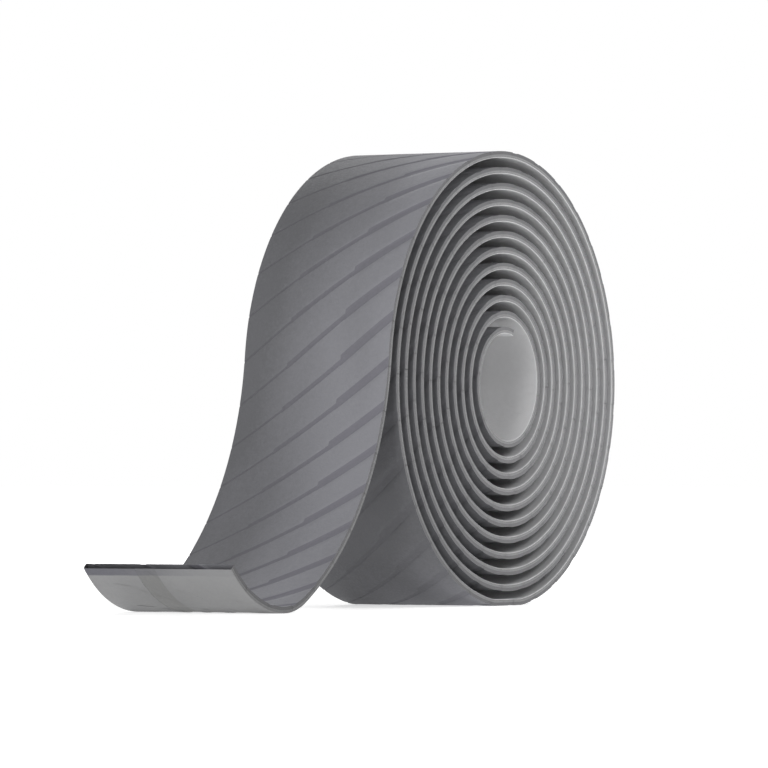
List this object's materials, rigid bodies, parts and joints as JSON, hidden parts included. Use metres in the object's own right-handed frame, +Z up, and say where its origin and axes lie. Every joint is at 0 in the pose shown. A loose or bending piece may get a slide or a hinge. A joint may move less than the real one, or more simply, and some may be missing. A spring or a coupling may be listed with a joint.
{
  "type": "handlebar tape roll",
  "caption": "Roll of soft handlebar tape with diagonal grip grooves, standing on its tread with its outer end let down and curled on the ground.",
  "frame": {"origin": "middle of the flat spot that the roll stands on, under the roll's axis and at mid-width of the tape", "axes": "+Z up, Y along the roll's axis and across the tape, -X towards the loose end"},
  "size_m": [0.1379, 0.03, 0.0834],
  "materials": {
    "tape": "matt soft-touch skin on a lighter foam back"
  },
  "bodies": {
    "root": {"handlebar_tape": "tape"}
  },
  "joints": []
}
